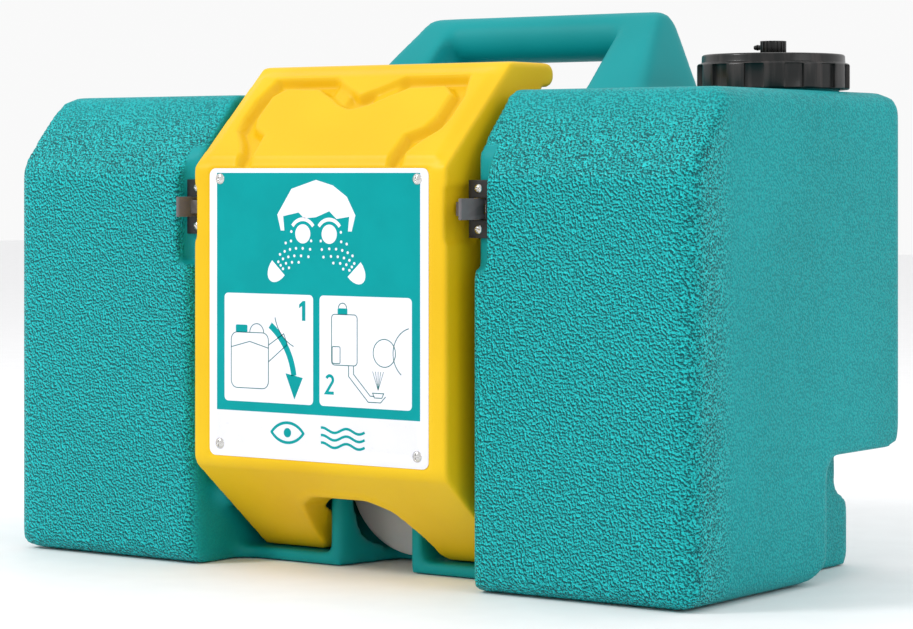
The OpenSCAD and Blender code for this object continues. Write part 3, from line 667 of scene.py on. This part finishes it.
NECK_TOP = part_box("cap_gasket")[0].z
THREAD_PITCH = 0.0045
THREAD_TURNS = 2.2
THREAD_RIDGE = 0.0014
neck = turned("neck_ring", [(NECK_BORE, TANK_TOP), (NECK_R, TANK_TOP), (NECK_R, NECK_TOP - 0.0008),
                            (NECK_R - 0.0008, NECK_TOP), (NECK_BORE + 0.0006, NECK_TOP),
                            (NECK_BORE, NECK_TOP - 0.0006)], (cap_axis.x, cap_axis.y, 0))
neck_thread = thread("neck_thread", (cap_axis.x, cap_axis.y, TANK_TOP + 0.0040), NECK_R,
                     THREAD_PITCH, THREAD_TURNS, THREAD_RIDGE)
weld(neck, neck_thread)
shade(neck, 35)
hand_over(neck, "tank", teal, "tank_plastic", "fill_neck")

# %% [markdown]
# ## The tray
#
# The tray goes the same way as the tank, on a finer grid because its walls are thinner. Where the CAD wall
# is thinned by a groove or a dent, thin backing blocks keep the grid from breaking through. A channel then
# frames the upper panel. A point's distance from the channel's two outlines gives its share of the depth,
# so the walls come out round, and the inner face of the wall follows, as in a mould.

# %% Measures of the tray
tray_low, tray_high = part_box("tray_shell")
FACE_TOP = 0.270
SLOPE_RUN = 0.074
slope = np.array([0.0, SLOPE_RUN, tray_high.z - FACE_TOP])
slope_length = float(np.linalg.norm(slope))
slope /= slope_length
inwards = np.array([0.0, slope[2], -slope[1]])
slope_foot = np.array([0.0, tray_low.y, FACE_TOP])
print("upper slope is", round(slope_length, 4), "m long")

# %% Back the thin walls, then remesh
tray = cad_copy("tray_moulding", "tray_shell")
groove_filler = block("groove_filler", (-0.097, 0.005, -0.0030), (0.097, slope_length - 0.007, -0.0001))
groove_filler.rotation_euler = (math.atan2(slope[2], slope[1]), 0, 0)
groove_filler.location = slope_foot
settle(groove_filler)
backing = [block("dent_backing", (s * 0.0995 - 0.0035, tray_low.y + 0.003, 0.217),
                 (s * 0.0995 + 0.0035, tray_low.y + 0.037, 0.261)) for s in (-1, 1)]
weld(tray, groove_filler, *backing)
modify(tray, "REMESH", mode="VOXEL", voxel_size=0.0016, use_smooth_shade=True)
modify(tray, "SMOOTH", factor=0.5, iterations=6)
print("tray skin has", len(tray.data.polygons), "faces")

# %% Outline of the channel
CHANNEL_OUTER = [(68, -4), (68, 8), (74, 15), (84, 23), (86, 31), (86, 43), (80, 58), (30, 58), (0, 45)]
CHANNEL_INNER = [(57, -4), (60, 19), (72, 24), (76, 30), (76, 46), (67, 52), (37, 51), (13, 40), (0, 37)]
RAISED = 0.0030
SUNK = 0.0042


def outline(half):
    """A closed outline on the slope from its right half, as points across and along the slope."""
    left = [(-x, z) for x, z in reversed(half) if x]
    return np.array([(x * MM, z * MM / slope[2]) for x, z in half + left])


def inside_by(points, corners):
    """How far flat points lie inside a closed outline. Outside it, the distance is negative."""
    nearest = np.full(len(points), 1.0)
    inside = np.zeros(len(points), bool)
    for a, b in zip(corners, np.roll(corners, -1, axis=0)):
        run = b - a
        share = np.clip((points - a) @ run / (run @ run), 0, 1)
        nearest = np.minimum(nearest, np.linalg.norm(points - a - share[:, None] * run, axis=1))
        if run[1]:
            crosses = (a[1] > points[:, 1]) != (b[1] > points[:, 1])
            inside ^= crosses & (points[:, 0] < a[0] + run[0] * (points[:, 1] - a[1]) / run[1])
    return np.where(inside, nearest, -nearest)


def ramp(values, low, high):
    """A smooth step from 0 to 1 as the values go from low to high."""
    share = np.clip((values - low) / (high - low), 0, 1)
    return share * share * (3 - 2 * share)


points = np.array([v.co for v in tray.data.vertices])
depth = (points - slope_foot) @ inwards
along = (points - slope_foot) @ slope
across = np.abs(points[:, 0])
flat = np.column_stack([points[:, 0], along])
in_channel = np.minimum(inside_by(flat, outline(CHANNEL_OUTER)), -inside_by(flat, outline(CHANNEL_INNER)))
channel = ramp(in_channel, -0.0016, 0.0026)
print("channel covers", int((channel > 0.5).sum()), "points")

# %% Raise the panel and its frame, and sink the channel between them
by_saddle = ramp(across, 0.008, 0.012) * ramp(across, 0.029, 0.025)
by_saddle *= ramp(along, 0.034, 0.039) * ramp(along, 0.084, 0.079)
on_slope = ramp(along, 0.0, 0.004) * ramp(along, slope_length + 0.001, slope_length - 0.006)
on_slope *= depth > -0.003
outer = on_slope * (depth < 0.0016)
inner = on_slope * (depth >= 0.0016) * (depth < 0.0048)
to_edges = ramp(across, 0.1035, 0.093) * ramp(along, 0.001, 0.009)
to_edges *= ramp(along, slope_length - 0.003, slope_length - 0.016)
lift = RAISED * (1 - channel) * to_edges * outer
sink = SUNK * channel * (1 - 0.7 * by_saddle) * outer + 0.6 * SUNK * channel * (1 - by_saddle) * inner
points += np.outer(sink - lift, inwards)
tray.data.vertices.foreach_set("co", points.ravel())
modify(tray, "SMOOTH", factor=0.45, iterations=2)
alone(tray)
bpy.ops.object.shade_smooth()
hand_over(tray, "tray", yellow, "tray_plastic", "tray_shell")

# %% [markdown]
# ## The fill cap
#
# The cap is a flat screw cap with a stepped top and wide finger flutes. Its half section is turned in 144
# steps. Then each group of side faces that lies on a flute is pushed in.

# %% Fill cap
CAP_R = (cap_high.x - cap_low.x) / 2
CAP_BOTTOM = cap_low.z
CAP_TOP = cap_high.z
FLUTES = 12
FLUTE_DEPTH = 0.0024
SIDES = 144
cap_centre = Vector((cap_axis.x, cap_axis.y, 0))

print("cap radius", round(CAP_R, 4))

# %% Step, rim and flutes of the cap


def round_cap_angle(face):
    """Where a face lies round the cap's axis, in flute widths."""
    middle = face.calc_center_median() - cap_centre
    return (math.atan2(middle.y, middle.x) / (2 * math.pi) * FLUTES) % 1.0


section = [(0.0005, CAP_TOP - 0.0040), (0.0005, CAP_TOP - 0.0012), (CAP_R - 0.0100, CAP_TOP - 0.0012),
           (CAP_R - 0.0090, CAP_TOP), (CAP_R - 0.0042, CAP_TOP), (CAP_R - 0.0032, CAP_TOP - 0.0009),
           (CAP_R - 0.0030, CAP_TOP - 0.0056), (CAP_R - 0.0008, CAP_TOP - 0.0062), (CAP_R, CAP_TOP - 0.0070),
           (CAP_R, CAP_BOTTOM + 0.0008), (CAP_R - 0.0008, CAP_BOTTOM), (0.0462, CAP_BOTTOM),
           (0.0462, CAP_TOP - 0.0040)]
cap = turned("screw_cap", section, (cap_axis.x, cap_axis.y, 0), steps=SIDES)
with editing(cap) as mesh:
    def on_flute(face):
        middle = face.calc_center_median()
        side = abs(face.normal.z) < 0.2 and (middle - cap_centre).xy.length > CAP_R - 0.0006
        return side and middle.z < CAP_TOP - 0.0070 and 0.22 < round_cap_angle(face) < 0.78

    pick(mesh, cap, on_flute)
    bpy.ops.mesh.extrude_region_shrink_fatten(TRANSFORM_OT_shrink_fatten={"value": -FLUTE_DEPTH})
soften(cap, 0.0006, 2, 30)
hand_over(cap, "cap", smoke, "smoke_plastic", "fill_cap")

# %% [markdown]
# ## The vent knob
#
# The knob that lets air in has eighteen ribs to grip and a barbed stub to take a dust tube. The ribs are
# every other face of a drum, drawn out. The stub is turned, with two barbs.

# %% Vent knob
knob_low, knob_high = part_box("vent_knob")
KNOB_R = (knob_high.y - knob_low.y) / 2
STUB_Z = knob_low.z + 0.0034
RIBS = 18
RIB_DEPTH = 0.0007
knob = drum("vent_grip", (cap_axis.x, cap_axis.y, (knob_low.z + knob_high.z) / 2), KNOB_R - RIB_DEPTH,
            knob_high.z - knob_low.z, sides=4 * RIBS)
with editing(knob) as mesh:
    def is_rib(face):
        middle = face.calc_center_median() - cap_centre
        turn = math.atan2(middle.y, middle.x) * RIBS / (2 * math.pi)
        return abs(face.normal.z) < 0.5 and turn % 1.0 < 0.5

    pick(mesh, knob, is_rib)
    bpy.ops.mesh.extrude_region_shrink_fatten(TRANSFORM_OT_shrink_fatten={"value": RIB_DEPTH})
    pick(mesh, knob, lambda f: f.normal.z > 0.9 and len(f.verts) > 36)
    bpy.ops.mesh.inset(thickness=0.0012)
    bpy.ops.mesh.inset(thickness=0.0004, depth=-0.0008)
soften(knob, 0.00015, 2, 30)
reach = cap_axis.x - knob_low.x
stub = turned("stub", [(0.0008, 0.004), (0.0014, 0.004), (0.0014, reach - 0.0054), (0.0020, reach - 0.0050),
                       (0.0014, reach - 0.0028), (0.0020, reach - 0.0026), (0.0014, reach), (0.0008, reach)],
              (cap_axis.x, cap_axis.y, STUB_Z), "-X", 32)
weld(knob, stub)
shade(knob, 40)
hand_over(knob, "vent", smoke, "smoke_plastic", "vent_knob")

# %% [markdown]
# ## Dressing the fittings
#
# The hidden and small fittings already have their true shape in CAD: bores, barbs, ribs and heads. What
# they lack is the small radius that a tool leaves. A joined copy has its flat triangles dissolved into
# whole faces, and then its sharp edges are bevelled.

# %% Bevelled copies


def dressed(name, node, body, finish, slot, width):
    """A bevelled copy that stands for one CAD node."""
    piece = cad_copy(name, node)
    with editing(piece):
        bpy.ops.mesh.select_all(action="SELECT")
        bpy.ops.mesh.dissolve_limited(angle_limit=math.radians(0.8))
    soften(piece, width, 2)
    return hand_over(piece, body, finish, slot, node)


for side in ("left", "right"):
    dressed(f"pivot_pin_{side}", f"hinge_pin_{side}", "tank", steel, "stainless", 0.0004)
    dressed(f"flanged_bush_{side}", f"hinge_bush_{side}", "tray", black, "black_plastic", 0.0002)
    dressed(f"catch_plate_{side}", f"latch_base_{side}", "tank", black, "black_plastic", 0.0003)
    dressed(f"catch_tongue_{side}", f"latch_tongue_{side}", f"latch_{side}", latch_grey, "grey_plastic",
            0.0005)
    dressed(f"catch_pin_{side}", f"latch_pin_{side}", "tank", steel, "stainless", 0.0002)
    dressed(f"spray_seal_{side}", f"nozzle_seal_{side}", "tank", rubber, "rubber", 0.0005)
    dressed(f"spray_bell_{side}", f"spray_head_{side}", "tray", head_teal, "head_plastic", 0.0004)
    dressed(f"spray_plate_{side}", f"spray_rose_{side}", "tray", milky, "white_plastic", 0.0001)

for name, node, body, finish, slot, width in (
    ("outlet_lid", "outlet_cap", "tank", milky, "white_plastic", 0.0006),
    ("outlet_seal", "outlet_washer", "tank", rubber, "rubber", 0.0003),
    ("hose_tail", "outlet_fitting", "tank", milky, "white_plastic", 0.0002),
    ("back_nut", "outlet_nut", "tank", milky, "white_plastic", 0.0004),
    ("lower_clamp", "tank_hose_clamp", "tank", steel, "stainless", 0.0002),
    ("cap_seal_ring", "cap_gasket", "cap_seal", rubber, "rubber", 0.0004),
    ("vent_stem", "vent_body", "cap", smoke, "smoke_plastic", 0.0002),
    ("vent_ring", "vent_seal", "cap", rubber, "rubber", 0.0001),
    ("upper_clamp", "tray_hose_clamp", "tray", steel, "stainless", 0.0002),
    ("hose_saddles", "hose_clips", "tray", black, "black_plastic", 0.0004),
    ("spray_pipe", "spray_manifold", "tray", milky, "white_plastic", 0.0002),
    ("pipe_saddles", "manifold_saddles", "tray", milky, "white_plastic", 0.0003),
    ("sign_panel", "sign_plate", "tray", plate_white, "sign_face", 0.0003),
    ("sign_screw_heads", "sign_screws", "tray", steel, "stainless", 0.00015),
    ("catch_screws", "latch_screws", "tank", steel, "stainless", 0.00015),
    ("clip_screw_heads", "clip_screws", "tray", steel, "stainless", 0.00015),
    ("saddle_screw_heads", "saddle_screws", "tray", steel, "stainless", 0.00015),
):
    dressed(name, node, body, finish, slot, width)
print("fittings dressed")

# %% [markdown]
# ## The supply hose
#
# One length of clear hose joins the tank's outlet to the spray pipe. It crosses the hinge, so it bends when
# the tray drops. The bend below is drawn in one pose: it starts at the tank's outlet and ends along the
# tray's upper slope. It is a curve with a round bevel, made a mesh, and given a wall.

# %% Supply hose
HOSE_R = 0.008
HOSE_WALL = 0.0025
LOWER_BEND = 0.046
UPPER_BEND = 0.045
bend_low, bend_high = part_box("supply_hose_bend")
run_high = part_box("supply_hose_run")[1]
hose_y = bend_low.y + HOSE_R
outlet_z = bend_low.z + HOSE_R
slope_angle = math.atan2(slope[2], slope[1])
LAST_RUN = 0.018
upper_turn = math.pi / 2 - slope_angle
upper_z = (run_high.z - HOSE_R * math.cos(slope_angle) - LAST_RUN * math.sin(slope_angle)
           - UPPER_BEND * math.sin(upper_turn))


def arc(across, up, radius, start, end, steps):
    """Points on an arc, in degrees."""
    angles = [math.radians(start + (end - start) * k / steps) for k in range(steps + 1)]
    return [(across + radius * math.cos(a), up + radius * math.sin(a)) for a in angles]


hose_path = [(bend_high.y, outlet_z)]
hose_path += arc(hose_y + LOWER_BEND, outlet_z + LOWER_BEND, LOWER_BEND, 270, 180, 12)
hose_path += arc(hose_y + UPPER_BEND, upper_z, UPPER_BEND, 180, 180 - math.degrees(upper_turn), 8)
end_y, end_z = hose_path[-1]
hose_path.append((end_y + LAST_RUN * slope[1], end_z + LAST_RUN * slope[2]))


def tube(name, places, radius, sides=8):
    """A round wire or hose along a list of places, as a mesh."""
    curve = bpy.data.curves.new(name, "CURVE")
    curve.dimensions = "3D"
    curve.bevel_depth = radius
    curve.bevel_resolution = sides
    spline = curve.splines.new("POLY")
    spline.points.add(len(places) - 1)
    for point, place in zip(spline.points, places):
        point.co = (*place, 1)
    alone(linked(name, curve))
    bpy.ops.object.convert(target="MESH")
    return bpy.context.object


hose = tube("supply_hose", [(0, y, z) for y, z in hose_path], HOSE_R)
modify(hose, "SOLIDIFY", thickness=HOSE_WALL, offset=-1)
shade(hose, 50)
hose.data.materials.append(vinyl)
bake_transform(hose)
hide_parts("supply_hose_bend", "supply_hose_run")
print("hose:", len(hose.data.polygons), "faces")

# %% [markdown]
# ## Catch springs
#
# Each catch tongue is pushed back by a small torsion spring round its pin. The spring is a helix of wire.

# %% Catch springs
WIRE_R = 0.0004
COILS = 5
PER_COIL = 20
for side in ("left", "right"):
    low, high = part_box(f"latch_spring_{side}")
    centre = (low + high) / 2
    coil_r = (high.x - low.x) / 2 - WIRE_R
    turns = [2 * math.pi * k / PER_COIL for k in range(COILS * PER_COIL + 1)]
    lift = (high.z - low.z - 2 * WIRE_R) / turns[-1]
    places = [(centre.x + coil_r * math.cos(a), centre.y + coil_r * math.sin(a), low.z + WIRE_R + lift * a)
              for a in turns]
    coil = tube(f"catch_spring_{side}", places, WIRE_R, 3)
    bpy.ops.object.shade_smooth()
    hand_over(coil, "tank", wire, "stainless", f"latch_spring_{side}")

# %% [markdown]
# ## The sign
#
# The sign tells a stranger what to do: open the tray, then rinse both eyes. Its pictures are the plain ones
# that such stations carry: a head whose eyes stand under two sprays, a tray pulled down, and a rinse at the
# open tray. Each is a flat outline filled as a 2D curve and raised by a film of ink.
# Later layers stand a film higher, so they show over the earlier ones. Sizes here are millimetres on the
# sign's face: across from the middle, and up from the floor.

# %% Outlines
FILM = 0.00007
sign_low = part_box("sign_plate")[0]


def rounded_box(x0, x1, z0, z1, r):
    corners = ((x1 - r, z1 - r, 0), (x0 + r, z1 - r, 90), (x0 + r, z0 + r, 180), (x1 - r, z0 + r, 270))
    return [p for x, z, start in corners for p in arc(x, z, r, start, start + 90, 5)]


def stroke(points, width, closed=False):
    """The outline of a line of some width along the points."""
    line = [np.array(p, float) for p in points]
    count = len(line)
    sides = ([], [])
    for i, p in enumerate(line):
        before = line[i - 1] if i or closed else p
        after = line[(i + 1) % count] if i < count - 1 or closed else p
        a, b = p - before, after - p
        a = a / (np.linalg.norm(a) or 1)
        b = b / (np.linalg.norm(b) or 1)
        along = (a + b) / np.linalg.norm(a + b)
        reach = width / 2 / max(0.4, abs(along @ (b if b.any() else a)))
        out = np.array([-along[1], along[0]]) * reach
        sides[0].append(tuple(p + out))
        sides[1].append(tuple(p - out))
    return [sides[0], sides[1]] if closed else [sides[0] + sides[1][::-1]]


def printed(name, groups, layer, finish):
    """Prints groups of outlines on the sign. In a group, an outline inside another one is a hole."""
    films = []
    for outlines in groups:
        curve = bpy.data.curves.new(name, "CURVE")
        curve.dimensions = "2D"
        curve.fill_mode = "BOTH"
        curve.extrude = layer * FILM / 2
        for outline in outlines:
            spline = curve.splines.new("POLY")
            spline.points.add(len(outline) - 1)
            for point, (x, z) in zip(spline.points, outline):
                point.co = (x * MM, z * MM, 0, 1)
            spline.use_cyclic_u = True
        film = linked(name, curve)
        film.rotation_euler = (math.pi / 2, 0, 0)
        film.location = (0, sign_low.y - layer * FILM / 2, 0)
        alone(film)
        bpy.ops.object.convert(target="MESH")
        settle(film)
        films.append(film)
    piece = films[0]
    if len(films) > 1:
        weld(piece, *films[1:])
    piece.name = name
    return hand_over(piece, "tray", finish, "sign_face")


print("sign face at y =", round(sign_low.y, 4))

# %% Teal field and white panels
FIELD = [(-84.5, 107.7), (84.5, 107.7), (84.5, 266), (-84.5, 266)]
printed("sign_field", [[FIELD]], 1, ink_teal)
printed("sign_windows", [[rounded_box(-77.8, -2.4, 114, 186, 3)], [rounded_box(3, 78, 114, 186, 3)]], 2,
        plate_white)

# %% Head, eyes and spray
EYE_X, EYE_Z = 11.0, 226.0
NOZZLE = np.array([31.5, 203.4])
HEAD = [(29.5, 228), (32.5, 238.5), (25.5, 250.5), (14, 257.8), (0, 261.4), (-20.5, 255.5),
        (-32.5, 238.5), (-29.5, 228), (-26.5, 228), (-27.5, 237.5), (-14.5, 240), (-10, 236.2),
        (0, 237), (11, 241), (17, 236), (27.5, 237.5), (26.5, 228)]


def nozzle_outline(side):
    """A rounded cup that opens towards the eye."""
    mouth = np.array([side * NOZZLE[0], NOZZLE[1]])
    aim = np.array([side * EYE_X, EYE_Z]) - mouth
    aim /= np.linalg.norm(aim)
    across = np.array([-aim[1], aim[0]])
    cup = arc(0, 0, 7.2, 180, 360, 12)
    return [tuple(mouth + across * u + aim * v * 1.55) for u, v in cup]


def drops(side):
    """Rows of drops that widen from the nozzle towards the eyes."""
    mouth = np.array([side * NOZZLE[0], NOZZLE[1]])
    aim = np.array([side * (EYE_X - 3), EYE_Z - 2]) - mouth
    aim /= np.linalg.norm(aim)
    across = np.array([-aim[1], aim[0]])
    made = []
    for row in range(8):
        count = 3 + row % 2
        for k in range(count):
            p = mouth + aim * (2.5 + 4.3 * row) + across * (k - (count - 1) / 2) * (3.0 + 0.85 * row)
            clear = all(math.hypot(p[0] - s * EYE_X, p[1] - EYE_Z) > 7.6 for s in (-1, 1))
            if clear and p[1] < 232 and side * p[0] > 1.2:
                made.append(arc(p[0], p[1], 0.95, 0, 330, 11))
    return made


eyes = [arc(s * EYE_X, EYE_Z, 6.3, 0, 350, 35) for s in (-1, 1)]
brows = [stroke(arc(s * EYE_X, EYE_Z - 1, 10.6, 35, 145, 14), 2.4) for s in (-1, 1)]
cups = [[nozzle_outline(s)] for s in (-1, 1)]
printed("sign_figure", [[HEAD], eyes, *brows, *cups, drops(-1), drops(1)], 2, plate_white)

# %% Step one: pull the tray down
THIN = 0.55
step_one = [
    stroke(rounded_box(-72, -40, 123, 160, 5), THIN, closed=True),
    stroke(arc(-50, 160, 6, 0, 180, 10), THIN),
    stroke([(-40, 152), (-27, 160), (-24, 153), (-40, 141)], THIN),
    stroke([(-72, 150), (-56, 154), (-40, 150)], THIN),
    stroke(arc(-9, 176, 26, 192, 248, 10), THIN),
]
arrow_body = stroke(arc(-66, 126, 48, 55, 8, 16), 4.4)
arrow_head = [(-25.5, 134), (-11, 131.5), (-18, 117)]
digit_one = [(-11.6, 169), (-8.8, 169), (-8.8, 182), (-11.0, 182), (-14.0, 179.6), (-14.0, 177.2),
             (-11.6, 178.6)]
printed("sign_step_one_lines", step_one, 3, ink_line)
lid_one = rounded_box(-68, -58, 160, 165, 1)
printed("sign_step_one_solids", [arrow_body, [arrow_head], [digit_one], [lid_one]], 3, ink_teal)

# %% Step two: rinse both eyes
step_two = [
    stroke(rounded_box(13, 34, 141, 174, 2.5), THIN, closed=True),
    stroke(arc(22, 178, 3.4, 0, 180, 10), THIN),
    stroke(rounded_box(13.5, 20, 142, 153, 1), THIN, closed=True),
    stroke([(27, 141), (27, 134), (43, 118), (53, 118), (57, 122)], THIN),
    stroke([(31, 141), (31, 135.6), (44.6, 122), (48, 122)], THIN),
    stroke([(48, 121), (54, 121), (55.5, 124), (46.5, 124)], THIN, closed=True),
    stroke(arc(56, 150, 9, 0, 350, 24), THIN, closed=True),
    stroke(arc(80, 150, 17, 105, 232, 16), THIN),
]
spray = [stroke([(51, 126), (51 + k * 2.2, 138)], 0.35) for k in (-2, -1, 0, 1, 2)]
digit_two = stroke(arc(11.4, 131.2, 2.7, 160, -30, 10) + [(8.6, 122.6), (14.8, 122.6)], 2.0)
printed("sign_step_two_lines", step_two + spray, 3, ink_line)
lid_two = rounded_box(18, 26, 174, 178, 0.8)
printed("sign_step_two_solids", [digit_two, [lid_two]], 3, ink_teal)

# %% Marks below the field: an eye and water
lids = arc(-24, 84.5, 17, 38, 142, 16) + arc(-24, 105.4, 17, 218, 322, 16)
waves = [stroke([(x, z + 1.5 * math.sin(x / 3.2)) for x in range(4, 41)], 1.7) for z in (88.5, 93.4, 98.3)]
pupil = arc(-24, 94.95, 3.1, 0, 345, 23)
printed("sign_marks", [stroke(lids, 1.9, closed=True), [pupil], *waves], 1, ink_teal)

# %% Finish the floor
floor_finish = plain_finish("pale_floor", (0.9, 0.9, 0.91, 1), (0.88, 0.88, 0.89, 1), 0.6, 40.0, 0.0001)
floor.data.materials.append(floor_finish)
